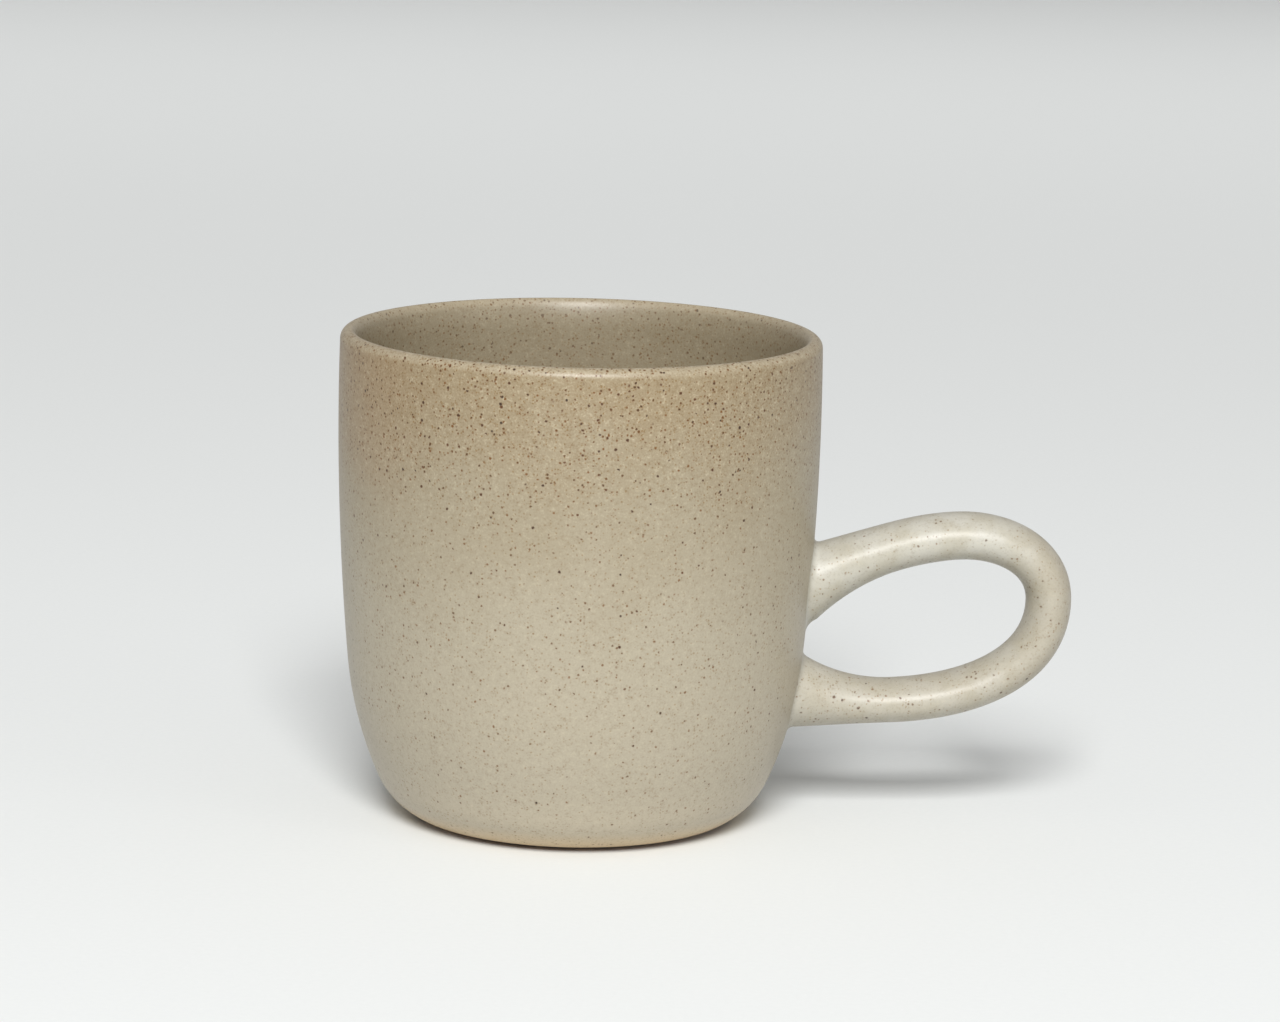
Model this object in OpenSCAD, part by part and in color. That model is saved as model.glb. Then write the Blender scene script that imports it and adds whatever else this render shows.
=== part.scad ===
// Stoneware cappuccino cup, in millimetres: a thrown cup with a pulled loop handle,
// a speckled glaze inside and out, and a bare base.
// +Z is up, the origin is the middle of the foot on the table, and the handle points along +X.

/* [Cup] */
// height from the table to the top of the lip
cup_height = 87.7; // [81:0.1:104]
// outside diameter at the widest part of the wall
cup_diameter = 86; // [78:1:98]
// whole wall from outside to inside, glaze included
wall_thickness = 3.6; // [3:0.1:5]
// radius of the slow bow of the wall, seen from the side
bow_radius = 490; // [400:10:600]
// angle that the bow has turned in by where the belly starts
bow_turn = 5.4; // [4.5:0.1:6]
// radius of the belly, seen from the side
belly_radius = 68; // [58:1:78]
// angle that the belly has turned in by where the bottom corner starts
belly_turn = 24; // [20:1:28]
// radius of the bottom corner, seen from the side
corner_radius = 13.3; // [10:0.1:15]
// how far down the inside of the lip is eased
lip_ease = 5.5; // [3:0.5:9]

/* [Foot] */
// how much of the rounded bottom is trimmed off flat where the cup stands
base_trim = 0.2; // [0.15:0.05:0.6]
// width of the flat ring that touches the table
foot_width = 5; // [3:0.5:8]
// depth of the hollow inside the ring
hollow_depth = 0.4; // [0.3:0.1:0.8]
// height of the glaze's lower edge above the table
glaze_line = 1; // [0.6:0.1:3]

/* [Glaze] */
// thickness of each coat of glaze
glaze_thickness = 0.4; // [0.3:0.05:0.6]

/* [Handle] */
// how far the loop stands out from the widest part of the wall
handle_reach = 46; // [40:1:54]
// height of the top of the loop
crown_height = 56.7; // [54:0.1:65]
// height of the loop's farthest point
far_height = 40.7; // [37:0.1:44]
// how far the crown lies in from the loop's farthest middle
crown_setback = 15; // [12:0.5:18]
// height of the middle of the upper root, inside the wall
upper_root_height = 42.5; // [41:0.1:49]
// drop from the middle of the upper root to the middle of the lower one
root_drop = 19; // [17:0.5:22]
// thickness of the loop near the upper root, seen from the side
upper_thickness = 8.8; // [7:0.1:10]
// thickness of the loop near the lower root, seen from the side
lower_thickness = 7.8; // [7:0.1:10]
// width of the loop across, seen from the end
loop_width = 12; // [9:0.1:15]
// what the upper root spreads by on each side where it meets the wall
upper_flare = 2.4; // [1:0.1:4]
// what the lower root spreads by on each side where it meets the wall
lower_flare = 3.4; // [1:0.1:4]
// length over which each root spreads
flare_length = 19; // [12:1:24]
// layer of slip between each end of the handle and the wall
slip_thickness = 0.8; // [0.6:0.1:1.5]

/* [Handle curve] */
// angle that the upper arm slopes down by where it enters the wall
upper_slope = 30; // [20:1:35]
// angle that the lower arm slopes down by where it leaves the wall
lower_slope = 14; // [5:1:20]
// how far the lower arm runs straight on from its root
lower_pull = 19; // [14:0.5:24]
// how far the loop runs straight below its farthest point
far_pull_below = 18; // [14:0.5:21]
// how far the loop runs straight above its farthest point
far_pull_above = 8; // [6:0.5:10]
// how far the crown runs level toward the farthest point
crown_pull_out = 7; // [5:0.5:9]
// how far the crown runs level toward the cup
crown_pull_in = 5.5; // [4:0.5:8]
// how far the upper arm runs straight out from its root
upper_pull = 16; // [12:0.5:20]

/* [Hidden] */

$fn = 128;
clay_colour = [0.42, 0.29, 0.18];
slip_colour = [0.50, 0.37, 0.25];
glaze_colour = [0.70, 0.65, 0.55];
handle_colour = [0.82, 0.78, 0.71];

// steps along each round stretch of the wall
corner_steps = 12;
belly_steps = 8;
bow_steps = 8;
lip_steps = 8;
// sides of the loop, and rings along each of its three curves
loop_sides = 20;
curve_steps = 15;
// rings of each root that reach past the layer of slip
root_rings = 7;

// the wall, as three arcs that run into each other, and a lip that is a quarter circle outside
lip_radius = wall_thickness / 2;
clay_inset = glaze_thickness;
liner_inset = wall_thickness - glaze_thickness;
corner_z = corner_radius - clay_inset - base_trim;
belly_z = corner_z + (belly_radius - corner_radius) * sin(belly_turn);
bow_z = belly_z + (bow_radius - belly_radius) * sin(bow_turn);
bow_x = cup_diameter / 2 - bow_radius;
belly_x = bow_x + (bow_radius - belly_radius) * cos(bow_turn);
corner_x = belly_x + (belly_radius - corner_radius) * cos(belly_turn);
lip_turn = asin((cup_height - lip_radius - bow_z) / (bow_radius - lip_radius));
lip_centre = [bow_x, bow_z] + (bow_radius - lip_radius) * [cos(lip_turn), sin(lip_turn)];

// inside, the lip is a quarter of a tall ellipse, which starts where the bow reaches the foot of the ease
ease_z = cup_height - lip_ease;
ease_turn = asin((ease_z - bow_z) / (bow_radius - wall_thickness));
ease_width = lip_centre.x - wall_at(ease_z) + wall_thickness;

// the flat ring ends where the clay's bottom corner meets the table
foot_radius = arc_at(corner_x, corner_z, corner_radius - clay_inset, 0);
hollow_radius = foot_radius - foot_width;
// the hollow's side leans in by this much
hollow_lean = 1;

// the loop's middle line: its root points lie this far inside the wall, and it runs on past them
root_depth = 2;
root_overrun = 6;
lower_root_height = upper_root_height - root_drop;
far_x = cup_diameter / 2 + handle_reach - (upper_thickness + lower_thickness) / 4;
crown_z = crown_height - upper_thickness / 2;
lower_root = [wall_at(lower_root_height) - root_depth, lower_root_height];
upper_root = [wall_at(upper_root_height) - root_depth, upper_root_height];
far_point = [far_x, far_height];
crown_point = [far_x - crown_setback, crown_z];
lower_way = [cos(lower_slope), -sin(lower_slope)];
upper_way = [cos(upper_slope), sin(upper_slope)];

// points along an arc, without its first point
function arc(centre, radius, from, to, steps) =
    [for (i = [1:steps])
        let (a = from + (to - from) * i / steps)
        centre + radius * [cos(a), sin(a)]];

// the wall's outside moved in by inset, from the axis at the bottom up to an angle of the bow
function wall_curve(inset, end) = let (bottom = corner_z - corner_radius + inset) concat(
    [[0, bottom], [corner_x, bottom]],
    arc([corner_x, corner_z], corner_radius - inset, -90, -belly_turn, corner_steps),
    arc([belly_x, belly_z], belly_radius - inset, -belly_turn, -bow_turn, belly_steps),
    arc([bow_x, bow_z], bow_radius - inset, -bow_turn, end, bow_steps));

// the outer half of the wall, and of the lip from the wall up
function outer_wall(inset) = wall_curve(inset, lip_turn);
function outer_lip(inset) = arc(lip_centre, lip_radius - inset, lip_turn, 90, lip_steps);

// the inner half of the wall, and of the lip from the top down, short of the wall
function inner_wall(inset) = wall_curve(inset, ease_turn);
function inner_lip(inset) =
    [for (i = [1:lip_steps - 1])
        let (a = 90 + 90 * i / lip_steps)
        [lip_centre.x + (ease_width - inset) * cos(a), ease_z + (lip_ease - inset) * sin(a)]];

function reversed(list) = [for (i = [len(list) - 1:-1:0]) list[i]];

// the radius of the glazed wall at a height, on whichever of its arcs reaches there
function arc_at(x, centre_z, radius, z) = x + sqrt(pow(radius, 2) - pow(z - centre_z, 2));
function wall_at(z) =
    z > bow_z - bow_radius * sin(bow_turn) ? arc_at(bow_x, bow_z, bow_radius, z) :
    z > belly_z - belly_radius * sin(belly_turn) ? arc_at(belly_x, belly_z, belly_radius, z) :
    arc_at(corner_x, corner_z, corner_radius, z);

// the loop's middle line, as three cubic curves
function cubic(a, b, c, d, t) =
    a * pow(1 - t, 3) + 3 * b * t * pow(1 - t, 2) + 3 * c * t * t * (1 - t) + d * pow(t, 3);
function curve(a, b, c, d) = [for (i = [1:curve_steps]) cubic(a, b, c, d, i / curve_steps)];

loop_line = concat(
    [lower_root - root_overrun * lower_way, lower_root],
    curve(lower_root, lower_root + lower_pull * lower_way, far_point - [0, far_pull_below], far_point),
    curve(far_point, far_point + [0, far_pull_above], crown_point + [crown_pull_out, 0], crown_point),
    curve(crown_point, crown_point - [crown_pull_in, 0], upper_root + upper_pull * upper_way, upper_root),
    [upper_root - root_overrun * upper_way]);
last_ring = len(loop_line) - 1;

// how much a root has spread at a point of the middle line: one at the root and none past its length
function spread(point, root) = pow(max(0, 1 - norm(point - root) / flare_length), 2);

// the oval cross-section at a point of the middle line, moved in by inset
function loop_ring(i, inset) =
    let (here = loop_line[i],
         way = loop_line[min(i + 1, last_ring)] - loop_line[max(i - 1, 0)],
         side = [way.y, -way.x] / norm(way),
         shown = i == 0 ? lower_root : i == last_ring ? upper_root : here,
         flare = lower_flare * spread(shown, lower_root) + upper_flare * spread(shown, upper_root),
         thickness = lower_thickness + (upper_thickness - lower_thickness) * i / last_ring,
         half_thickness = thickness / 2 + flare - inset,
         half_width = loop_width / 2 + flare / 2 - inset)
    [for (k = [0:loop_sides - 1])
        let (a = 360 * k / loop_sides,
             p = here + side * half_thickness * cos(a))
        [p.x, half_width * sin(a), p.y]];

function rings(first, last, inset) = [for (i = [first:last]) loop_ring(i, inset)];

// triangles of the skin between rings of points, and of a flat end
function skin(count, start) =
    [for (i = [0:count - 2], k = [0:loop_sides - 1])
        let (a = start + i * loop_sides + k,
             b = start + i * loop_sides + (k + 1) % loop_sides)
        each [[a, a + loop_sides, b], [b, a + loop_sides, b + loop_sides]]];
function end_cap(start) = [for (k = [1:loop_sides - 2]) [start, start + k, start + k + 1]];
function turned(faces) = [for (f = faces) [f[2], f[1], f[0]]];
function flat(list) = [for (part = list) each part];

// a solid bar through rings of points
module bar(list) {
    last = (len(list) - 1) * loop_sides;
    polyhedron(flat(list), concat(skin(len(list), 0), end_cap(0), turned(end_cap(last))));
}

// a coat between outer rings and the inner rings that lie inside them
module coat(outer, inner) {
    count = len(outer);
    inside = count * loop_sides;
    last = (count - 1) * loop_sides;
    rim = [for (k = [0:loop_sides - 1])
        let (n = (k + 1) % loop_sides)
        each [[k, n, inside + k], [n, inside + n, inside + k]]];
    far_rim = [for (f = rim) [f[0] + last, f[1] + last, f[2] + last]];
    polyhedron(flat(concat(outer, inner)),
               concat(skin(count, 0), turned(skin(count, inside)), rim, turned(far_rim)));
}

// a section turned about the cup's axis, with its seam on the side away from the handle
module turned_solid() {
    rotate([0, 0, 180]) rotate_extrude() children();
}

// everything inside the wall moved in by inset, as one solid
module filled_cup(inset) {
    side = outer_wall(inset);
    top = side[len(side) - 1].y;
    turned_solid() polygon(concat(side, [[0, top]]));
}

module lower_root_bar() {
    bar(rings(0, root_rings, clay_inset));
}

module upper_root_bar() {
    bar(rings(last_ring - root_rings, last_ring, clay_inset));
}

// the layer of slip that fills between the wall and the end of a root
module slip_layer() {
    difference() {
        intersection() {
            children();
            filled_cup(clay_inset - slip_thickness);
        }
        filled_cup(clay_inset);
    }
}

// what is trimmed off the rounded bottom: all below the table, and the hollow inside the ring
module trimmings() {
    translate([0, -corner_radius]) square([cup_diameter, corner_radius]);
    polygon([[0, 0], [hollow_radius, 0], [hollow_radius - hollow_lean, hollow_depth], [0, hollow_depth]]);
}

module cup_body() {
    color(clay_colour) turned_solid() difference() {
        polygon(concat(outer_wall(clay_inset), outer_lip(clay_inset), inner_lip(clay_inset),
                       reversed(inner_wall(liner_inset))));
        trimmings();
    }
}

module outer_glaze() {
    color(glaze_colour) difference() {
        turned_solid() difference() {
            polygon(concat(outer_wall(0), outer_lip(0), reversed(outer_lip(clay_inset)),
                           reversed(outer_wall(clay_inset))));
            translate([0, glaze_line - corner_radius]) square([cup_diameter, corner_radius]);
        }
        lower_root_bar();
        upper_root_bar();
    }
}

module liner_glaze() {
    top = [lip_centre.x, cup_height];
    under = top - [0, glaze_thickness];
    color(glaze_colour) turned_solid()
        polygon(concat(inner_wall(wall_thickness), reversed(inner_lip(0)), [top, under],
                       inner_lip(clay_inset), reversed(inner_wall(liner_inset))));
}

module handle() {
    color(clay_colour) difference() {
        bar(rings(0, last_ring, clay_inset));
        filled_cup(clay_inset - slip_thickness);
    }
}

module upper_slip_joint() {
    color(slip_colour) slip_layer() upper_root_bar();
}

module lower_slip_joint() {
    color(slip_colour) slip_layer() lower_root_bar();
}

module handle_glaze() {
    color(handle_colour) difference() {
        coat(rings(0, last_ring, 0), rings(0, last_ring, clay_inset));
        filled_cup(0);
    }
}

cup_body();
handle();
upper_slip_joint();
lower_slip_joint();
outer_glaze();
liner_glaze();
handle_glaze();
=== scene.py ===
# %% [markdown]
# # A speckled stoneware cup
# The plain model of the cup is loaded first. It gives the place and the size of everything. Each piece
# that is made here stands where one of its nodes is, but is smoother, and has the finish of the real thing.

import bmesh
import bpy
import numpy as np
from mathutils import Matrix


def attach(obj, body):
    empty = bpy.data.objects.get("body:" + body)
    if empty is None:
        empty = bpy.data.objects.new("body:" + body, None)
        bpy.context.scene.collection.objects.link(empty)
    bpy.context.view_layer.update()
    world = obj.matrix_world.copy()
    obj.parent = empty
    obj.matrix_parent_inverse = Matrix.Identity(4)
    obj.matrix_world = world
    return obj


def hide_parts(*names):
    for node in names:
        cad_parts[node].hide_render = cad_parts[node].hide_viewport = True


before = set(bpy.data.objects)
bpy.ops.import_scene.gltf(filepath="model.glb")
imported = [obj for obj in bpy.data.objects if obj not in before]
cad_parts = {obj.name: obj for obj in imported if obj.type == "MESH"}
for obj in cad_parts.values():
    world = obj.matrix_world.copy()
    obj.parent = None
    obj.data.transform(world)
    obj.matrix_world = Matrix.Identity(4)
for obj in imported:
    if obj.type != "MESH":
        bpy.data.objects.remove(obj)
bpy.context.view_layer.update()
print("nodes:", sorted(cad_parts))

# %% [markdown]
# ## The sizes
# A thrown cup is drawn as half of its cross-section. The named sizes that drive the plain model are
# repeated here, in millimetres and degrees, so that a curve worked out from them lands on its surface.

# %% Sizes of the cup
cup_height = 87.7
cup_diameter = 86
wall_thickness = 3.6
bow_radius = 490
bow_turn = 5.4
belly_radius = 68
belly_turn = 24
corner_radius = 13.3
lip_ease = 5.5
base_trim = 0.2
foot_width = 5
hollow_depth = 0.4
hollow_lean = 1
glaze_line = 1
glaze_thickness = 0.4

lip_radius = wall_thickness / 2
clay_inset = glaze_thickness
liner_inset = wall_thickness - glaze_thickness
print("the wall is", wall_thickness, "mm thick, with", glaze_thickness, "mm of it glaze on each side")

# %% [markdown]
# ## The wall as three arcs
# The wall could be a spline through a dozen points, but a potter's curve is slower than that. Three arcs
# that run into each other without a corner draw it with a handful of numbers: a long bow, a rounder belly
# and a tight bottom corner. Moving the wall inward only makes each radius smaller, so clay, glaze and
# inside all come from one function.


# %% Middles of the arcs
def sine(degrees):
    return np.sin(np.radians(degrees))


def cosine(degrees):
    return np.cos(np.radians(degrees))


corner_z = corner_radius - clay_inset - base_trim
belly_z = corner_z + (belly_radius - corner_radius) * sine(belly_turn)
bow_z = belly_z + (bow_radius - belly_radius) * sine(bow_turn)
bow_x = cup_diameter / 2 - bow_radius
belly_x = bow_x + (bow_radius - belly_radius) * cosine(bow_turn)
corner_x = belly_x + (belly_radius - corner_radius) * cosine(belly_turn)
lip_turn = np.degrees(np.arcsin((cup_height - lip_radius - bow_z) / (bow_radius - lip_radius)))
lip_x = bow_x + (bow_radius - lip_radius) * cosine(lip_turn)
lip_z = bow_z + (bow_radius - lip_radius) * sine(lip_turn)
print("widest at height", round(float(bow_z), 2), "mm")
print("lip circle at", round(float(lip_x), 2), round(float(lip_z), 2), "mm")

# %% Arcs of the wall
CORNER_STEPS = 40
BELLY_STEPS = 32
BOW_STEPS = 48


def arc(x, z, radius, start, end, steps):
    """Points along an arc, with both of its ends."""
    angles = np.linspace(start, end, steps + 1)
    return np.column_stack([x + radius * cosine(angles), z + radius * sine(angles)])


def wall_curve(inset, start=-90, end=lip_turn):
    """The wall moved in by inset, from an angle of the bottom corner to an angle of the bow."""
    corner = arc(corner_x, corner_z, corner_radius - inset, start, -belly_turn, CORNER_STEPS)
    belly = arc(belly_x, belly_z, belly_radius - inset, -belly_turn, -bow_turn, BELLY_STEPS)
    bow = arc(bow_x, bow_z, bow_radius - inset, -bow_turn, end, BOW_STEPS)
    return np.vstack([corner, belly[1:], bow[1:]])


def wall_radius(z):
    """The radius of the glazed wall at a height."""
    bow = bow_x + np.sqrt(np.maximum(bow_radius**2 - (z - bow_z) ** 2, 0))
    belly = belly_x + np.sqrt(np.maximum(belly_radius**2 - (z - belly_z) ** 2, 0))
    corner = corner_x + np.sqrt(np.maximum(corner_radius**2 - (z - corner_z) ** 2, 0))
    bow_end = bow_z - bow_radius * sine(bow_turn)
    belly_end = belly_z - belly_radius * sine(belly_turn)
    return np.where(z > bow_end, bow, np.where(z > belly_end, belly, corner))


print("the wall is drawn through", len(wall_curve(0)), "points")

# %% [markdown]
# ## The lip
# Outside, the lip turns over in a tight quarter circle. Inside, a potter's thumb draws it out into a longer
# ease, so that half is a quarter of an ellipse. It starts where the bow has climbed to the foot of the ease.

# %% Both halves of the lip
LIP_STEPS = 28

ease_z = cup_height - lip_ease
ease_turn = np.degrees(np.arcsin((ease_z - bow_z) / (bow_radius - wall_thickness)))
ease_width = float(lip_x - wall_radius(ease_z) + wall_thickness)


def outer_lip(inset):
    return arc(lip_x, lip_z, lip_radius - inset, lip_turn, 90, LIP_STEPS)


def inner_lip(inset):
    angles = np.linspace(90, 180, LIP_STEPS + 1)
    across = (ease_width - inset) * cosine(angles)
    rise = (lip_ease - inset) * sine(angles)
    return np.column_stack([lip_x + across, ease_z + rise])


print("the lip is", round(lip_radius + ease_width, 2), "mm thick at the foot of its ease")

# %% [markdown]
# ## From points to a piece
# Every piece here is a grid of points with faces between them. One helper turns points into an object,
# shades it smooth with sharp edges only at true corners, and hides the node of the plain model that it
# stands for.

# %% Make a piece
MILLIMETRE = 0.001
SHARP_ANGLE = np.radians(40)


def make_piece(name, points, faces, node, slot):
    """An object from points in millimetres and the faces between them, in place of a node."""
    mesh = bpy.data.meshes.new(name)
    mesh.from_pydata((np.asarray(points) * MILLIMETRE).tolist(), [], faces)
    work = bmesh.new()
    work.from_mesh(mesh)
    bmesh.ops.recalc_face_normals(work, faces=work.faces)
    work.to_mesh(mesh)
    work.free()
    mesh.shade_smooth()
    mesh.set_sharp_from_angle(angle=SHARP_ANGLE)
    piece = bpy.data.objects.new(name, mesh)
    bpy.context.scene.collection.objects.link(piece)
    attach(piece, "root")
    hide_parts(node)
    print(name, "has", len(mesh.vertices), "points")
    return piece


# %% [markdown]
# ## Turning on the wheel
# Blender's Screw modifier can turn a profile, but writing the rings out keeps the seam closed and lets each
# ring be a hair out of round, as a hand-thrown wall is. It is only ever drawn in, never out, so that the cup
# keeps its size. A section either closes on itself, like a coat of glaze that has a hole in the middle, or
# starts and ends on the axis, where its ring shrinks to one point.

# %% One ring
AROUND = 256
CALM_RADIUS = 20
angles_around = np.linspace(0, 2 * np.pi, AROUND, endpoint=False)


def dents(depth, count, twist, z):
    """How far a ring is drawn in by a count of dents, which drift round it as the height grows."""
    return depth * (1 - np.cos(count * angles_around + twist * z)) / 2


def out_of_round(z):
    lean = dents(depth=0.05, count=2, twist=0.03, z=z)
    ripple = dents(depth=0.02, count=5, twist=0.11, z=z)
    return lean + ripple


def ring_of(radius, z):
    """The points of a ring, which is drawn in less when it is close to the axis."""
    r = radius - out_of_round(z) * min(1, radius / CALM_RADIUS)
    return np.column_stack([r * np.cos(angles_around), r * np.sin(angles_around), np.full(AROUND, z)])


print("the wall is up to", round(float(out_of_round(cup_height).max()), 3), "mm out of round at the lip")


# %% Turn a section about the axis
def quads_between(first, second, count):
    here = np.arange(count)
    there = np.roll(here, -1)
    return np.column_stack([first + here, first + there, second + there, second + here]).tolist()


def turned(section, on_axis):
    """The points and faces of a section, given as radii and heights, turned about the axis."""
    section = np.asarray(section)
    rings = section[1:-1] if on_axis else section
    points = np.vstack([ring_of(r, z) for r, z in rings])
    faces = []
    for i in range(len(rings) - 1):
        faces += quads_between(i * AROUND, (i + 1) * AROUND, AROUND)
    last = (len(rings) - 1) * AROUND
    if on_axis:
        ends = [[0, 0, section[0][1]], [0, 0, section[-1][1]]]
        points = np.vstack([points, ends])
        tip = len(rings) * AROUND
        for k in range(AROUND):
            n = (k + 1) % AROUND
            faces.append([k, n, tip])
            faces.append([last + n, last + k, tip + 1])
    else:
        faces += quads_between(last, 0, AROUND)
    return points, faces


# %% [markdown]
# ## The clay cup
# Under the glaze is the thrown clay. All of it is made, although only the base shows: a flat ring that is
# trimmed on the wheel, with a shallow hollow inside it and a narrow band above it that stays bare.

# %% Clay cup
EDGE_HOLD = 0.2

clay_corner = corner_radius - clay_inset
foot_meets = -np.degrees(np.arcsin(corner_z / clay_corner))
foot_radius = corner_x + clay_corner * cosine(foot_meets)
hollow_radius = foot_radius - foot_width


def straight_runs(corners):
    """Straight lines between corners, with points held near each end so that flat parts shade flat."""
    points = []
    for a, b in zip(np.array(corners[:-1]), np.array(corners[1:])):
        step = (b - a) * EDGE_HOLD / np.linalg.norm(b - a)
        points += [a, a + step, b - step]
    return np.array(points)


underside = [
    [0, hollow_depth],
    [hollow_radius - hollow_lean, hollow_depth],
    [hollow_radius, 0],
    [foot_radius, 0],
]
clay_section = np.vstack([
    straight_runs(underside),
    wall_curve(clay_inset, foot_meets),
    outer_lip(clay_inset)[1:],
    inner_lip(clay_inset)[1:],
    wall_curve(liner_inset, end=ease_turn)[::-1][1:],
    [[0, corner_z - corner_radius + liner_inset]],
])
clay_cup = make_piece("clay_cup", *turned(clay_section, on_axis=True), "cup_body", "stoneware")

# %% [markdown]
# ## The coats of glaze
# Glaze is a real layer, about as thick as a fingernail. The outer coat ends in a rounded bead beside the
# bare band, because molten glaze draws itself up there. The poured liner meets it on top of the lip.

# %% Outer coat
BEAD_STEPS = 8

bead_radius = glaze_thickness / 2
coat_starts = -np.degrees(np.arcsin((corner_z - glaze_line) / corner_radius))
bead_out = np.array([cosine(coat_starts), sine(coat_starts)])
bead_on = np.array([sine(coat_starts), -cosine(coat_starts)])
bead_middle = np.array([corner_x, corner_z]) + (corner_radius - bead_radius) * bead_out
bead_angles = np.linspace(180, 0, BEAD_STEPS + 1)[1:-1, None]
bead = bead_middle + bead_radius * (cosine(bead_angles) * bead_out + sine(bead_angles) * bead_on)

outer_section = np.vstack([
    wall_curve(0, coat_starts),
    outer_lip(0)[1:],
    outer_lip(clay_inset)[::-1],
    wall_curve(clay_inset, coat_starts)[::-1][1:],
    bead,
])
outer_coat = make_piece("outer_coat", *turned(outer_section, on_axis=False), "outer_glaze", "speckled_glaze")

# %% Liner
liner_section = np.vstack([
    [[0, corner_z - corner_radius + wall_thickness]],
    wall_curve(wall_thickness, end=ease_turn),
    inner_lip(0)[::-1][1:],
    inner_lip(clay_inset),
    wall_curve(liner_inset, end=ease_turn)[::-1][1:],
    [[0, corner_z - corner_radius + liner_inset]],
])
liner_coat = make_piece("liner_coat", *turned(liner_section, on_axis=True), "liner_glaze", "speckled_glaze")

# %% [markdown]
# ## The pulled handle
# A pulled handle is a strip of clay that is stroked long between wet fingers, so it tapers slowly and swells
# at both ends. Its middle line is three cubic curves: lower root to farthest point, over to the crown, and
# back to the wall. At each end it runs on past the wall's surface, where it is cut later.

# %% Sizes of the handle
handle_reach = 46
crown_height = 56.7
far_height = 40.7
crown_setback = 15
upper_root_height = 42.5
root_drop = 19
upper_thickness = 8.8
lower_thickness = 7.8
loop_width = 12
upper_flare = 2.4
lower_flare = 3.4
flare_length = 19
upper_slope = 30
lower_slope = 14
root_depth = 2
lower_pull = 19
far_pull_below = 18
far_pull_above = 8
crown_pull_out = 7
crown_pull_in = 5.5
upper_pull = 16
root_overrun = 6
print("the loop reaches", handle_reach, "mm out and is", loop_width, "mm wide")

# %% Middle line
RUN_STEPS = 6
CURVE_STEPS = 60

lower_root_height = upper_root_height - root_drop
far_x = cup_diameter / 2 + handle_reach - (upper_thickness + lower_thickness) / 4
far_point = np.array([far_x, far_height])
crown_point = np.array([far_x - crown_setback, crown_height - upper_thickness / 2])
lower_root = np.array([float(wall_radius(lower_root_height)) - root_depth, lower_root_height])
upper_root = np.array([float(wall_radius(upper_root_height)) - root_depth, upper_root_height])
lower_way = np.array([cosine(lower_slope), -sine(lower_slope)])
upper_way = np.array([cosine(upper_slope), sine(upper_slope)])


def cubic(a, b, c, d):
    """Points along a cubic curve, without its first end."""
    t = np.linspace(0, 1, CURVE_STEPS + 1)[1:, None]
    return a * (1 - t) ** 3 + 3 * b * t * (1 - t) ** 2 + 3 * c * t**2 * (1 - t) + d * t**3


into_wall = np.linspace(0, root_overrun, RUN_STEPS + 1)[:, None]
middle_line = np.vstack([
    (lower_root - into_wall * lower_way)[::-1],
    cubic(lower_root, lower_root + lower_pull * lower_way, far_point - [0, far_pull_below], far_point),
    cubic(far_point, far_point + [0, far_pull_above], crown_point + [crown_pull_out, 0], crown_point),
    cubic(crown_point, crown_point - [crown_pull_in, 0], upper_root + upper_pull * upper_way, upper_root),
    (upper_root - into_wall * upper_way)[1:],
])
line_length = np.linalg.norm(np.diff(middle_line, axis=0), axis=1).sum()
print("handle line is", round(float(line_length), 1), "mm long")

# %% [markdown]
# ## Ovals along the handle
# A curve object with a bevel keeps the proportions of its section, so the ovals are set along the line one
# by one, each with a thickness and a width of its own. They are a hair thinner than the plain handle, whose
# flat facets don't quite reach the true curve.

# %% Thickness and width
HAIR = 0.005

along = np.clip((np.arange(len(middle_line)) - RUN_STEPS) / (3 * CURVE_STEPS), 0, 1)
in_lower_wall = slice(0, RUN_STEPS + 1)
in_upper_wall = slice(-RUN_STEPS - 1, None)


def spread(root, inside):
    """How far a root has spread: one at the root and inside the wall, and none past its length."""
    reach = np.linalg.norm(middle_line - root, axis=1)
    reach[inside] = 0
    return np.maximum(0, 1 - reach / flare_length) ** 2


flare = lower_flare * spread(lower_root, in_lower_wall) + upper_flare * spread(upper_root, in_upper_wall)
half_thickness = (lower_thickness + (upper_thickness - lower_thickness) * along) / 2 + flare - HAIR
half_width = loop_width / 2 + flare / 2
print("the handle is", round(2 * float(half_thickness.min()), 2), "mm thick at its thinnest")

# %% Ovals
SIDES = 72

way = np.gradient(middle_line, axis=0)
way /= np.linalg.norm(way, axis=1)[:, None]
side = np.column_stack([way[:, 1], -way[:, 0]])
around_oval = np.linspace(0, 2 * np.pi, SIDES, endpoint=False)
across = middle_line[:, None] + side[:, None] * (half_thickness[:, None] * np.cos(around_oval))[..., None]
ovals = np.stack([across[..., 0], half_width[:, None] * np.sin(around_oval), across[..., 1]], axis=-1)
centres = np.column_stack([middle_line[:, 0], np.zeros(len(middle_line)), middle_line[:, 1]])
print(len(ovals), "ovals of", SIDES, "points")

# %% [markdown]
# ## Smoothing the roots into the wall
# Where a handle is joined on, the potter wipes the slip into a small fillet. A boolean union would leave a
# hard crease, so each lengthwise line of the handle is cut where it meets the wall, and its end is bent into
# a curve that leaves along the handle and arrives along the wall, a twentieth of a millimetre under the
# surface.

# %% Where the handle meets the wall
SLOPE_STEP = 0.05


def outside_wall(points):
    return np.hypot(points[:, 0], points[:, 1]) - wall_radius(points[:, 2])


def wall_normal(point):
    growth = wall_radius(point[2] + SLOPE_STEP) - wall_radius(point[2] - SLOPE_STEP)
    slope = growth / (2 * SLOPE_STEP)
    normal = np.array([point[0], point[1], -slope * np.hypot(point[0], point[1])])
    return normal / np.linalg.norm(normal)


def crossing(line, gap, shown, hidden):
    """Where a line goes through the wall, between a point that shows and one that is hidden."""
    return line[shown] + (line[hidden] - line[shown]) * gap[shown] / (gap[shown] - gap[hidden])


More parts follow.
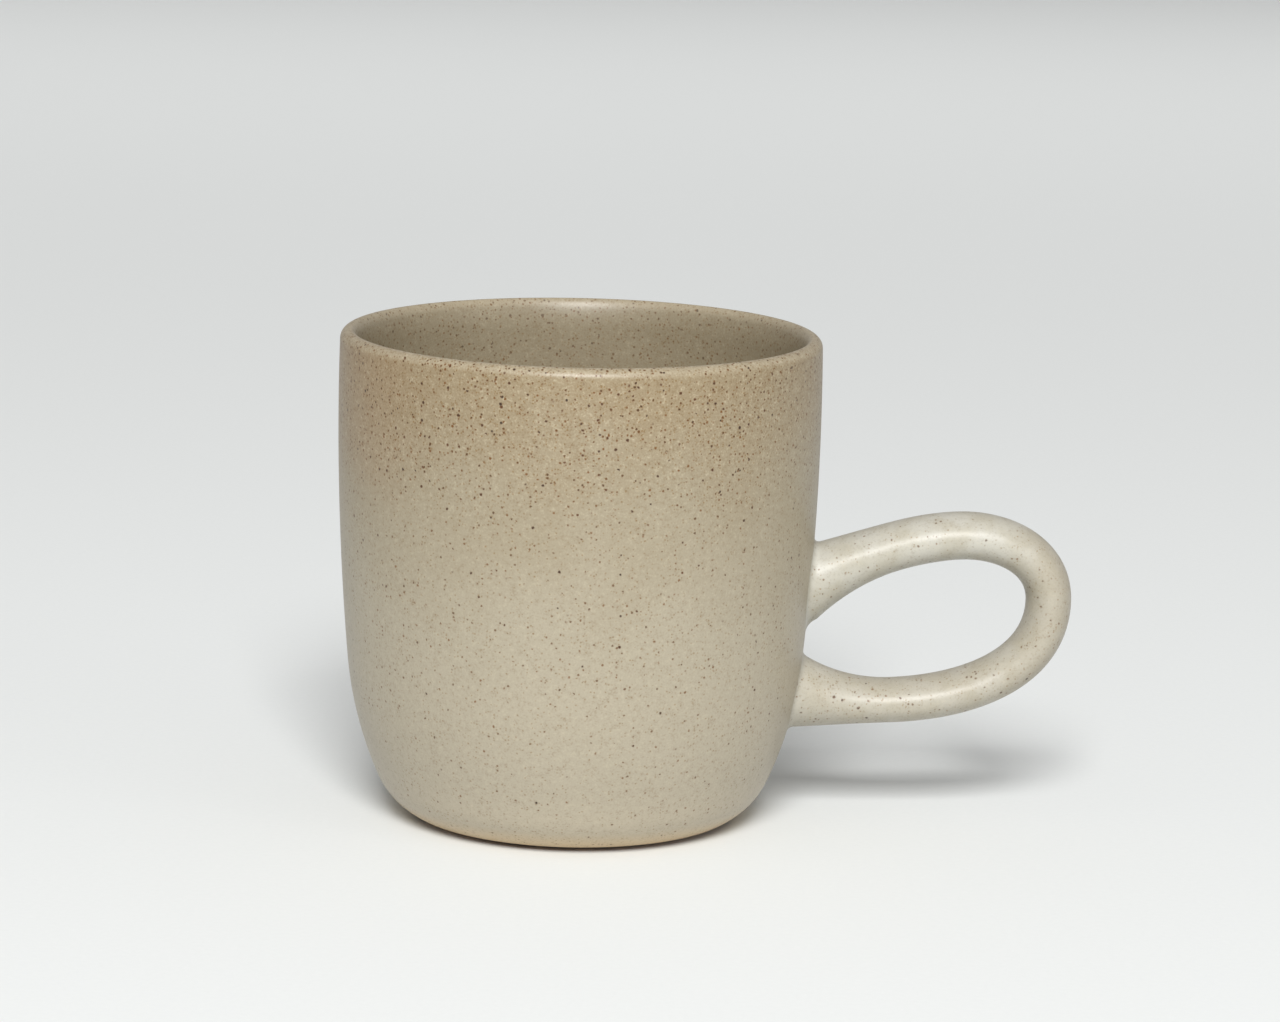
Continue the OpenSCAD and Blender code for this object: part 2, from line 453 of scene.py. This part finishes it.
deepest = outside_wall(ovals.reshape(-1, 3)).min()
print("uncut, the handle's ends reach", round(-float(deepest), 1), "mm past the wall's surface")

# %% Lines with a fillet at each end
UPPER_FILLET = 1.6
LOWER_FILLET = 1.1
FILLET_STEPS = 10
LENGTHWISE = 200
SUNK = 0.05


def fillet(meets, leaves, outward, size):
    """A curve from the wall to the handle round the corner where they meet."""
    normal = wall_normal(meets)
    over = outward - normal * (outward @ normal)
    foot = meets + size * over / np.linalg.norm(over)
    foot[:2] *= (wall_radius(foot[2]) - SUNK) / np.hypot(foot[0], foot[1])
    t = np.linspace(0, 1, FILLET_STEPS + 1)[:-1, None]
    return foot * (1 - t) ** 2 + 2 * meets * t * (1 - t) + leaves * t**2


def lengthwise_line(k):
    line = ovals[:, k]
    gap = outside_wall(line)
    shown = np.nonzero(gap > 0)[0]
    first, last = shown[0], shown[-1]
    start = crossing(line, gap, first, first - 1)
    end = crossing(line, gap, last, last + 1)
    path = np.vstack([start, line[first:last + 1], end])
    length = np.concatenate([[0], np.cumsum(np.linalg.norm(np.diff(path, axis=0), axis=1))])
    wanted = np.linspace(LOWER_FILLET, length[-1] - UPPER_FILLET, LENGTHWISE)
    body = np.column_stack([np.interp(wanted, length, path[:, i]) for i in range(3)])
    lower = fillet(start, body[0], line[first] - centres[first], LOWER_FILLET)
    upper = fillet(end, body[-1], line[last] - centres[last], UPPER_FILLET)
    return np.vstack([lower, body, upper[::-1]])


handle_grid = np.stack([lengthwise_line(k) for k in range(SIDES)], axis=1)
print("the handle's coat is a grid of", handle_grid.shape[0], "by", handle_grid.shape[1], "points")

# %% Handle coat
handle_points = handle_grid.reshape(-1, 3)
handle_faces = []
for i in range(len(handle_grid) - 1):
    handle_faces += quads_between(i * SIDES, (i + 1) * SIDES, SIDES)
handle_coat = make_piece("handle_coat", handle_points, handle_faces, "handle_glaze", "speckled_glaze")
thickness = handle_coat.modifiers.new("glaze_thickness", "SOLIDIFY")
thickness.thickness = glaze_thickness * MILLIMETRE
thickness.offset = -1

# %% [markdown]
# ## Writing finishes as sums
# A finish is a graph of small nodes. Wiring them by hand hides the idea, so one class wraps a socket and
# lets values be added and multiplied in Python, and one method adds any other node from its settings and
# its sockets.


# %% A value
class Value:
    """A socket that can be used in sums with numbers and other values."""

    def __init__(self, finish, socket):
        self.finish = finish
        self.socket = socket

    def __add__(self, other):
        return self.finish.sum_of("ADD", self, other)

    __radd__ = __add__

    def __sub__(self, other):
        return self.finish.sum_of("SUBTRACT", self, other)

    def __rsub__(self, other):
        return self.finish.sum_of("SUBTRACT", other, self)

    def __mul__(self, other):
        return self.finish.sum_of("MULTIPLY", self, other)

    __rmul__ = __mul__

    def __lt__(self, other):
        return self.finish.sum_of("LESS_THAN", self, other)


# %% A finish
class Finish:
    """A material that grows node by node, and knows the place on the piece in millimetres."""

    def __init__(self, name):
        self.material = bpy.data.materials.new(name)
        self.material.use_nodes = True
        self.tree = self.material.node_tree
        self.tree.nodes.clear()
        in_metres = self.node("ShaderNodeTexCoord", output=3)
        scaling = {0: in_metres, "Scale": 1 / MILLIMETRE}
        self.place = self.node("ShaderNodeVectorMath", {"operation": "SCALE"}, scaling)

    def node(self, kind, settings=None, sockets=None, output=0):
        made = self.tree.nodes.new(kind)
        for name, setting in (settings or {}).items():
            setattr(made, name, setting)
        for name, given in (sockets or {}).items():
            if isinstance(given, Value):
                self.tree.links.new(given.socket, made.inputs[name])
            else:
                made.inputs[name].default_value = given
        return Value(self, made.outputs[output])

    def sum_of(self, operation, a, b):
        return self.node("ShaderNodeMath", {"operation": operation}, {0: a, 1: b})

    def smooth_step(self, value, low, high):
        limits = {"Value": value, "From Min": low, "From Max": high}
        return self.node("ShaderNodeMapRange", {"interpolation_type": "SMOOTHSTEP"}, limits)

    def blend(self, amount, a, b):
        return self.node("ShaderNodeMix", {"data_type": "RGBA"}, {0: amount, 6: a, 7: b}, output=2)

    def ramp(self, value, stops):
        """A colour that follows a value from 0 to 1, through stops of a value and a colour."""
        made = self.node("ShaderNodeValToRGB", None, {0: value})
        elements = made.socket.node.color_ramp.elements
        while len(elements) < len(stops):
            elements.new(1.0)
        for element, (position, shade) in zip(elements, stops):
            element.position = position
            element.color = shade
        return made

    def noise(self, place, scale, detail=2.0, output=0):
        sockets = {"Vector": place, "Scale": scale, "Detail": detail}
        return self.node("ShaderNodeTexNoise", None, sockets, output)

    def stretched(self, noise):
        """Noise, which lies mostly between 0.3 and 0.7, stretched to run from 0 to 1."""
        return self.smooth_step(noise, 0.3, 0.7)

    def done(self, sockets):
        surface = self.node("ShaderNodeBsdfPrincipled", None, sockets)
        outlet = self.tree.nodes.new("ShaderNodeOutputMaterial")
        self.tree.links.new(surface.socket, outlet.inputs["Surface"])
        return self.material


# %% A colour
def colour(red, green, blue):
    """A linear colour from the values that a colour picker shows, 0 to 255, by the curve of sRGB."""
    share = np.array([red, green, blue]) / 255
    linear = np.where(share <= 0.04045, share / 12.92, ((share + 0.055) / 1.055) ** 2.4)
    return (*linear.tolist(), 1.0)


print("a middle grey is", round(colour(128, 128, 128)[0], 3), "as a linear value")

# %% [markdown]
# ## Three coats of one glaze
# The glaze is an oatmeal satin over clay that is full of iron. All three coats of it are drawn from the same
# few measures: the height above the table, how near the lip that is, two sizes of grain, and a place that
# is bent a little for ragged specks. A class works them out once for each coat.

# %% A glaze and its measures
ABOVE_WAIST = (15.0, 45.0)
TOWARD_LIP = (56.0, 80.0)
FINE_SCALE = 2.8
COARSE_SCALE = 0.9
RAGGED_SCALE = 2.4
RAGGED_REACH = 0.3


class Glaze(Finish):
    """A finish that also knows its height, how near the lip it is, and a ragged place for its specks."""

    def __init__(self, name):
        super().__init__(name)
        self.height = self.node("ShaderNodeSeparateXYZ", None, {0: self.place}, output=2)
        self.waist_up = self.smooth_step(self.height, *ABOVE_WAIST)
        self.lip_up = self.smooth_step(self.height, *TOWARD_LIP)
        self.fine = self.noise(self.place, FINE_SCALE)
        self.coarse = self.noise(self.place, COARSE_SCALE)
        bend = self.noise(self.place, RAGGED_SCALE, detail=1.0, output=1)
        bending = {0: bend, 1: [RAGGED_REACH] * 3, 2: self.place}
        self.ragged = self.node("ShaderNodeVectorMath", {"operation": "MULTIPLY_ADD"}, bending)

    def rising(self, low, waist, lip):
        """A value that is low at the foot, and grows by so much past the waist and toward the lip."""
        return self.waist_up * waist + self.lip_up * lip + low


# %% Painted light on the lip
LIP_LIGHT_STARTS = 1.9
LIP_LIGHT_FULL = 0.6
LIP_LIGHT_STRENGTH = 0.75


def painted_lip_light(glaze, ground):
    """A pale band painted over the top of the lip, for the light from above and the sheen that it catches.
    """
    # Painted light: the top of the lip is made paler where it faces the light from above.
    on_lip = glaze.smooth_step(glaze.height, cup_height - LIP_LIGHT_STARTS, cup_height - LIP_LIGHT_FULL)
    return glaze.blend(on_lip * LIP_LIGHT_STRENGTH, ground, colour(162, 150, 127))


# %% [markdown]
# ## The ground of the outer coat
# Outside, the glaze is thin and tan at the lip, and thicker and greyer lower down. A colour ramp over the
# height holds that, and noise added to the height makes the bands drift like clouds. The kiln's flame has
# flashed the lip brown on the side away from the handle. Near the foot light is painted into the glaze, for
# the light that the floor throws up, and the narrow band where it runs out is toasted and painted lighter.

# %% Clouds and bands
CLOUD_SCALE = 0.07
CLOUD_DRIFT = 26.0

outside = Glaze("outer_glaze")
clouds = outside.noise(outside.place, CLOUD_SCALE, detail=3.0)
drift = (clouds - 0.5) * CLOUD_DRIFT
level = (outside.height + drift) * (1 / cup_height)
drifting = outside.ramp(level, [
    (0.1, colour(166, 157, 138)),
    (0.45, colour(161, 152, 132)),
    (0.72, colour(150, 139, 116)),
    (0.95, colour(143, 127, 99)),
])
print("the bands drift by up to", CLOUD_DRIFT / 2, "mm")

# %% Flash, painted light at the foot, and the toasted band painted lighter
FLASH_MIDDLE = (-38.0, -16.0, 80.0)
FLASH_REACH = (28.0, 6.0)
FLASH_STRENGTH = 0.35
FOOT_LIGHT_ZONE = (14.0, 4.0)
FOOT_LIGHT_STRENGTH = 0.3
TOASTED_LIT_BAND = (5.0, 1.0)
TOASTED_LIT_STRENGTH = 0.6

both_ends = {0: outside.place, 1: FLASH_MIDDLE}
from_flash = outside.node("ShaderNodeVectorMath", {"operation": "DISTANCE"}, both_ends, output=1)
flash = outside.smooth_step(from_flash + drift, *FLASH_REACH) * FLASH_STRENGTH
warmed = outside.blend(flash, drifting, colour(142, 112, 74))
# Painted light near the foot, for the light that the floor throws up onto the bottom of the wall.
painted_foot_light = outside.smooth_step(outside.height, *FOOT_LIGHT_ZONE) * FOOT_LIGHT_STRENGTH
with_foot_light = outside.blend(painted_foot_light, warmed, colour(190, 178, 156))
# The toasted band where the glaze runs out is real, and its colour is also painted lighter for the floor's
# light.
toasted_lit_band = outside.smooth_step(outside.height, *TOASTED_LIT_BAND) * TOASTED_LIT_STRENGTH
outer_ground = painted_lip_light(outside, outside.blend(toasted_lit_band, with_foot_light, colour(208, 180, 134)))
print("the ground outside takes", len(outside.tree.nodes), "nodes")

# %% [markdown]
# ## The grounds of the liner and the handle
# The poured liner is a little darker and more even, with slow pools. The handle, which was dipped last, is
# the palest, with streaks in its coat. Shade is painted on round its far bend, the colour is darker along
# the lower arm, and the specks grow in number down the handle.

# %% Ground of the liner
POOL_SCALE = 0.1

inside = Glaze("liner_glaze")
pools = inside.noise(inside.place, POOL_SCALE, detail=3.0)
liner_ground = painted_lip_light(inside, inside.blend(pools, colour(134, 122, 99), colour(148, 137, 114)))
print("the ground inside takes", len(inside.tree.nodes), "nodes")

# %% Ground of the handle
STREAK_SCALE = 0.22
DOWN_HANDLE = (60.0, 20.0)
SHADED_FAR_BEND = (74.0, 88.0)
FAR_SHADE_STRENGTH = 0.65
LOWER_ARM = (36.0, 26.0)
LOWER_STRENGTH = 0.35

dipped = Glaze("handle_glaze")
dipped.waist_up = dipped.smooth_step(dipped.height, *DOWN_HANDLE)
streaks = dipped.stretched(dipped.noise(dipped.place, STREAK_SCALE, detail=3.0))
far_out = dipped.node("ShaderNodeSeparateXYZ", None, {0: dipped.place})
# Painted shade on the far bend, which faces the light from the right; the lower arm is also made darker.
painted_far_shade = dipped.smooth_step(far_out, *SHADED_FAR_BEND) * FAR_SHADE_STRENGTH
darker_lower_arm = dipped.smooth_step(dipped.height, *LOWER_ARM) * LOWER_STRENGTH
coated = dipped.blend(streaks, colour(172, 167, 152), colour(183, 180, 169))
handle_ground = dipped.blend(painted_far_shade + darker_lower_arm, coated, colour(158, 148, 128))
print("the ground of the handle takes", len(dipped.tree.nodes), "nodes")

# %% [markdown]
# ## Sand in the ground
# Between the specks the glaze isn't even either. Two sizes of noise lay darker and paler grains into it,
# about a third of a millimetre and a millimetre wide, stronger toward the lip where the coat is thin.

# %% Sandy ground
FINE_PART = 0.6
SAND_MIDDLE = 0.5
SAND_SPREAD = 0.22
DARK_SAND = 0.6
PALE_SAND = 0.34
SAND_LOW = 0.55


def sandy(glaze, ground, share):
    mixed = glaze.fine * FINE_PART + glaze.coarse * (1 - FINE_PART)
    thin = (glaze.lip_up * (1 - SAND_LOW) + SAND_LOW) * share
    dark = glaze.smooth_step(mixed, SAND_MIDDLE, SAND_MIDDLE + SAND_SPREAD)
    pale = glaze.smooth_step(mixed, SAND_MIDDLE, SAND_MIDDLE - SAND_SPREAD)
    darkened = glaze.blend(dark * thin * DARK_SAND, ground, colour(114, 90, 54))
    return glaze.blend(pale * thin * PALE_SAND, darkened, colour(206, 195, 168))


# %% [markdown]
# ## Specks
# The specks are grains of iron in the clay that burn through the glaze. A speck is the middle of a cell of a
# Voronoi texture: the cell's own random colour says whether it has a speck at all, how big it is and how
# rusty. Rust bleeds into the glaze around it as a wider, softer stain. Bending the texture a little with
# noise makes the specks ragged. Cells and radii are in millimetres.

# %% One size of specks
SOFT_EDGE = 0.06
STAIN = 0.16
STAIN_STRENGTH = 0.4


def specks(glaze, under, show, keep, cell, radii, shades):
    """Specks over what is under them, and their mask. Keep is the share of cells that have one."""
    smallest, largest = radii
    dark, rusty = shades
    cells = {"Vector": glaze.ragged, "Scale": 1 / cell}
    distance = glaze.node("ShaderNodeTexVoronoi", None, cells) * cell
    random = glaze.node("ShaderNodeTexVoronoi", None, cells, output=1)
    present, size, rust = [
        glaze.node("ShaderNodeSeparateColor", None, {0: random}, output=channel) for channel in range(3)
    ]
    radius = size * (largest - smallest) + smallest
    shown = (present < keep) * show
    stain = glaze.smooth_step(distance, radius + STAIN, radius) * shown
    spot = glaze.smooth_step(distance, radius + SOFT_EDGE, radius - SOFT_EDGE) * shown
    stained = glaze.blend(stain * STAIN_STRENGTH, under, rusty)
    return glaze.blend(spot, stained, glaze.blend(rust, dark, rusty)), spot


# %% [markdown]
# ## The glaze put together
# Dust, grains and spots of iron go over each other, in loose crowds that a slow noise gathers. They show
# less through the liner and the handle's thicker coat. The same masks sink the grains and the spots a
# little, and make the grains duller. A thin clear layer on top, the coat of the shader, gives the satin its
# second, tighter gloss.

# %% Three sizes of specks
DUST = {"cell": 0.5, "radii": (0.08, 0.13), "shades": (colour(100, 78, 36), colour(124, 92, 42))}
GRAINS = {"cell": 0.8, "radii": (0.11, 0.2), "shades": (colour(62, 38, 4), colour(108, 66, 12))}
SPOTS = {"cell": 1.5, "radii": (0.13, 0.25), "shades": (colour(36, 20, 2), colour(84, 45, 4))}
DUST_STRENGTH = 0.7
CROWD_SCALE = 0.3
CROWD_LEAST = 0.55
CROWD_GAIN = 0.9


def speckled(glaze, ground, share):
    """The ground with all its specks, and the masks of the grains and the spots."""
    crowd = glaze.stretched(glaze.noise(glaze.place, CROWD_SCALE)) * CROWD_GAIN + CROWD_LEAST
    some = crowd * glaze.rising(low=0.18, waist=0.08, lip=0.22)
    few = crowd * glaze.rising(low=0.1, waist=0.1, lip=0.42)
    rare = crowd * glaze.rising(low=0.015, waist=0.13, lip=0.47)
    show = glaze.rising(low=0.8, waist=0.0, lip=0.2) * share
    dusted, _ = specks(glaze, sandy(glaze, ground, share), show * DUST_STRENGTH, some, **DUST)
    grained, grains = specks(glaze, dusted, show, few, **GRAINS)
    spotted, spots = specks(glaze, grained, share, rare, **SPOTS)
    return spotted, grains, spots


# %% Finish a coat
WAVE_SCALE = 0.2
FINE_PEEL = 0.5
COARSE_PEEL = 0.6
GRAIN_DEPTH = 0.3
SPOT_DEPTH = 0.5
RELIEF = 0.04 * MILLIMETRE
SATIN = 0.38
FINE_DULLING = 0.14
GRAIN_DULLING = 0.1


def fire(coat, glaze, ground, share, waves):
    """Give a coat its finish. Share is how strongly its specks show, waves how uneven its surface is."""
    spotted, grains, spots = speckled(glaze, ground, share)
    wavy = glaze.noise(glaze.place, WAVE_SCALE, detail=1.0) * waves
    peel = glaze.fine * FINE_PEEL + glaze.coarse * COARSE_PEEL + wavy
    sunk = peel - grains * GRAIN_DEPTH - spots * SPOT_DEPTH
    relief = {"Strength": 0.2, "Distance": RELIEF, "Height": sunk}
    coat.data.materials.append(glaze.done({
        "Base Color": spotted,
        "Roughness": glaze.fine * FINE_DULLING + grains * GRAIN_DULLING + SATIN,
        "Normal": glaze.node("ShaderNodeBump", None, relief),
        "IOR": 1.46,
        "Coat Weight": 0.2,
        "Coat Roughness": 0.34,
    }))
    print(coat.name, "has a glaze of", len(glaze.tree.nodes), "nodes")


fire(outer_coat, outside, outer_ground, share=1.0, waves=1.0)
fire(liner_coat, inside, liner_ground, share=0.55, waves=1.0)
fire(handle_coat, dipped, handle_ground, share=0.8, waves=12.0)

# %% [markdown]
# ## Bare clay
# The foot is unglazed stoneware, toasted by the kiln, and paler in the hollow that the flame hardly reaches.
# It is matt and sandy. The trimming tool has left fine rings on it, so one noise follows only the distance
# from the axis. The handle's clay and both layers of slip, which the glaze hides, have the same finish.

# %% Grain and rings of the clay
RING_SCALE = 0.9
PATCH_SCALE = 0.15
SAND_SCALE = 3.0

clay = Finish("bare_clay")
flattening = {0: clay.place, 1: (1.0, 1.0, 0.0)}
flat_place = clay.node("ShaderNodeVectorMath", {"operation": "MULTIPLY"}, flattening)
from_axis = clay.node("ShaderNodeVectorMath", {"operation": "LENGTH"}, {0: flat_place}, output=1)
rings = clay.noise(clay.node("ShaderNodeCombineXYZ", None, {0: from_axis}), RING_SCALE, detail=3.0)
patches = clay.stretched(clay.noise(clay.place, PATCH_SCALE, detail=3.0))
sand = clay.noise(clay.place, SAND_SCALE)
print("the hollow is", round(2 * float(hollow_radius), 1), "mm wide")

# %% Clay
HOLLOW_STRENGTH = 0.5
RING_EDGE = (0.45, 0.7)
RING_STRENGTH = 0.2
RING_DEPTH = 2.0
SAND_EDGE = (0.5, 0.7)
SAND_STRENGTH = 0.7
GRIT_RELIEF = 0.1 * MILLIMETRE
MATT = 0.7
SAND_DULLING = 0.2

toasted = clay.blend(patches, colour(150, 110, 72), colour(174, 136, 98))
in_hollow = clay.smooth_step(from_axis, hollow_radius, hollow_radius - hollow_lean) * HOLLOW_STRENGTH
paler = clay.blend(in_hollow, toasted, colour(192, 164, 128))
in_ring = clay.smooth_step(rings, *RING_EDGE) * RING_STRENGTH
ringed = clay.blend(in_ring, paler, colour(120, 86, 56))
in_grain = clay.smooth_step(sand, *SAND_EDGE) * SAND_STRENGTH
grained = clay.blend(in_grain, ringed, colour(104, 72, 44))
gritty = {"Strength": 0.4, "Distance": GRIT_RELIEF, "Height": sand + rings * RING_DEPTH}
grit = clay.node("ShaderNodeBump", None, gritty)
dullness = sand * SAND_DULLING + MATT
clay_material = clay.done({"Base Color": grained, "Roughness": dullness, "Normal": grit})
clay_cup.data.materials.append(clay_material)
for name in ("handle", "upper_slip_joint", "lower_slip_joint"):
    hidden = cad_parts[name]
    hidden.data.materials.clear()
    hidden.data.materials.append(clay_material)
print("the clay takes", len(clay.tree.nodes), "nodes")

# %% [markdown]
# ## The table
# A pale sweep of paper: a long flat floor that curves up far behind the cup, so that no horizon shows.

# %% Floor
FLOOR_NEAR = -3000
FLOOR_FAR = 3000
FLOOR_SIDE = 6000
SWEEP_RADIUS = 700
SWEEP_STEPS = 16

sweep = arc(FLOOR_FAR, SWEEP_RADIUS, SWEEP_RADIUS, -90, -10, SWEEP_STEPS)
floor_line = np.vstack([[[FLOOR_NEAR, 0]], sweep])
floor_points = np.array([[x, y, z] for y, z in floor_line for x in (-FLOOR_SIDE, FLOOR_SIDE)])
floor_faces = [[2 * i, 2 * i + 1, 2 * i + 3, 2 * i + 2] for i in range(len(floor_line) - 1)]
floor_mesh = bpy.data.meshes.new("paper_sweep")
floor_mesh.from_pydata((floor_points * MILLIMETRE).tolist(), [], floor_faces)
floor_mesh.shade_smooth()
floor = bpy.data.objects.new("paper_sweep", floor_mesh)
bpy.context.scene.collection.objects.link(floor)
print("the paper has", len(floor_faces), "strips")

# %% Paper
FIBRE_SCALE = 0.9

paper = Finish("paper")
fibres = paper.noise(paper.place, FIBRE_SCALE, detail=3.0)
paper_colour = paper.blend(fibres, colour(228, 230, 229), colour(232, 234, 233))
floor_mesh.materials.append(paper.done({"Base Color": paper_colour, "Roughness": 0.9}))
print("the paper takes", len(paper.tree.nodes), "nodes")

# %% [markdown]
# ## Light
# One soft box stands in front, in the camera's own upright plane: its reflection sits in the middle of the
# lip, and the shadow falls straight back. A pale surround fills the shadows, and a weak light from the right
# lifts that side. The far paper has a panel of its own. Its beam is narrow, because light from behind would
# put a shadow in front.

# %% Surround
SURROUND = 0.365

world = bpy.data.worlds.new("studio")
bpy.context.scene.world = world
world.use_nodes = True
world.node_tree.nodes["Background"].inputs["Color"].default_value = (1.0, 1.0, 1.0, 1.0)
world.node_tree.nodes["Background"].inputs["Strength"].default_value = SURROUND
print("the surround has a strength of", SURROUND)

# %% A soft box
AIM_HEIGHT = 43.7


def in_front(distance, rise):
    """A place in front of the cup, at a distance and an angle above the middle of its height."""
    return np.array([0, -distance * cosine(rise), distance * sine(rise) + AIM_HEIGHT])


def standing_at(place, right, up, back):
    """The matrix of an object at a place in millimetres, with its three axes."""
    axes = np.column_stack([right, up, back])
    return Matrix([[*axis, p * MILLIMETRE] for axis, p in zip(axes, place)] + [[0, 0, 0, 1]])


def soft_box(name, place, aim, width, depth, power, beam=180):
    light = bpy.data.lights.new(name, "AREA")
    light.shape = "RECTANGLE"
    light.size = width * MILLIMETRE
    light.size_y = depth * MILLIMETRE
    light.energy = power
    light.spread = np.radians(beam)
    lamp = bpy.data.objects.new(name, light)
    bpy.context.scene.collection.objects.link(lamp)
    back = np.subtract(place, aim)
    back = back / np.linalg.norm(back)
    right = np.array([1.0, 0.0, 0.0])
    lamp.matrix_world = standing_at(place, right, np.cross(back, right), back)
    print(name, "stands at", [round(float(v)) for v in place], "mm")


# %% Lights
KEY_RISE = 39
KEY_DISTANCE = 3000
KEY_WIDTH = 1100
KEY_POWER = 101.0
BACK_PLACE = (0, 1500, 1600)
BACK_FOOT = (0, 1500, 0)
BACK_WIDTH = 3000
BACK_DEPTH = 1000
BACK_BEAM = 70
BACK_POWER = 3.0
FILL_PLACE = (2500, -1450, 700)
FILL_WIDTH = 1600
FILL_POWER = 6.0

middle = (0, 0, AIM_HEIGHT)
soft_box("key", in_front(KEY_DISTANCE, KEY_RISE), middle, KEY_WIDTH, KEY_WIDTH, KEY_POWER)
soft_box("back_panel", BACK_PLACE, BACK_FOOT, BACK_WIDTH, BACK_DEPTH, BACK_POWER, BACK_BEAM)
soft_box("fill", FILL_PLACE, middle, FILL_WIDTH, FILL_WIDTH, FILL_POWER)

# %% [markdown]
# ## Camera
# The camera is found from the cup itself. The outline of the rim, the sides and the foot fix how high it
# stands, how far it is tilted and how long its lens is.

# %% Where the camera looks
CAMERA_DISTANCE = 800
CAMERA_RISE = 11.758
PAN_PIXELS = 61.961
TILT_PIXELS = 64.265
ROLL = 1.251
FOCAL_PIXELS = 4459.8


def turn_pair(a, b, angle):
    """Two axes turned by an angle in the plane that they span."""
    return a * np.cos(angle) + b * np.sin(angle), b * np.cos(angle) - a * np.sin(angle)


eye = in_front(CAMERA_DISTANCE, CAMERA_RISE)
forward = np.array([0, cosine(CAMERA_RISE), -sine(CAMERA_RISE)])
right = np.array([1.0, 0, 0])
up = np.cross(right, forward)
forward, right = turn_pair(forward, right, np.arctan(PAN_PIXELS / FOCAL_PIXELS))
forward, up = turn_pair(forward, up, np.arctan(TILT_PIXELS / FOCAL_PIXELS))
right, up = turn_pair(right, up, np.radians(ROLL))
print("the camera stands at", [round(float(v)) for v in eye], "mm")

# %% Camera
IMAGE_WIDTH = 1280
SENSOR_WIDTH = 36

lens = bpy.data.cameras.new("camera")
lens.sensor_width = SENSOR_WIDTH
lens.lens = FOCAL_PIXELS / IMAGE_WIDTH * SENSOR_WIDTH
lens.clip_start = 0.01
camera = bpy.data.objects.new("camera", lens)
bpy.context.scene.collection.objects.link(camera)
camera.matrix_world = standing_at(eye, right, up, -forward)
bpy.context.scene.camera = camera
bpy.context.scene.view_settings.view_transform = "Standard"
print("lens", round(lens.lens, 1), "mm")
